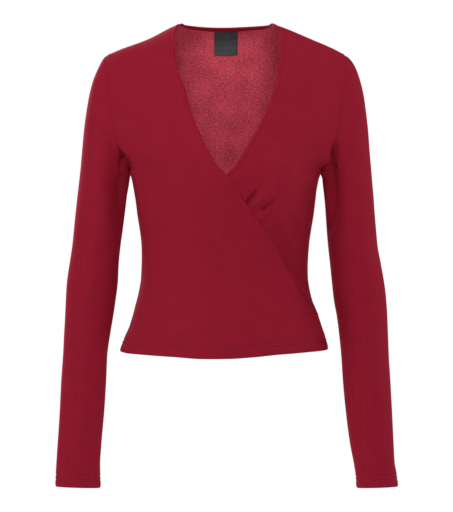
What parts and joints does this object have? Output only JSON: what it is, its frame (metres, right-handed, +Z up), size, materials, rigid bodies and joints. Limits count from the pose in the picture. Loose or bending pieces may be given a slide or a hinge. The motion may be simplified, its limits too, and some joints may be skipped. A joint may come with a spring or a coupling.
{
  "type": "wrap top",
  "caption": "Long-sleeved jersey wrap top with a deep V neck, filled out as worn with nobody in it; the right front crosses over the left and ends in the left side seam.",
  "frame": {"origin": "midway between the two neck points on the centre plane, level with them, where the wearer's shoulders carry the top", "axes": "+Z up, -Y out of the front, +X towards the wearer's left (the viewer's right)"},
  "size_m": [0.4918, 0.217, 0.6736],
  "materials": {
    "jersey": "fine matte jersey knit, dark red",
    "woven_label": "bare charcoal woven satin"
  },
  "bodies": {
    "root": {"back": "jersey", "right_front": "jersey", "left_front": "jersey", "right_sleeve": "jersey", "left_sleeve": "jersey", "back_neck_band": "jersey", "label": "woven_label"}
  },
  "joints": []
}
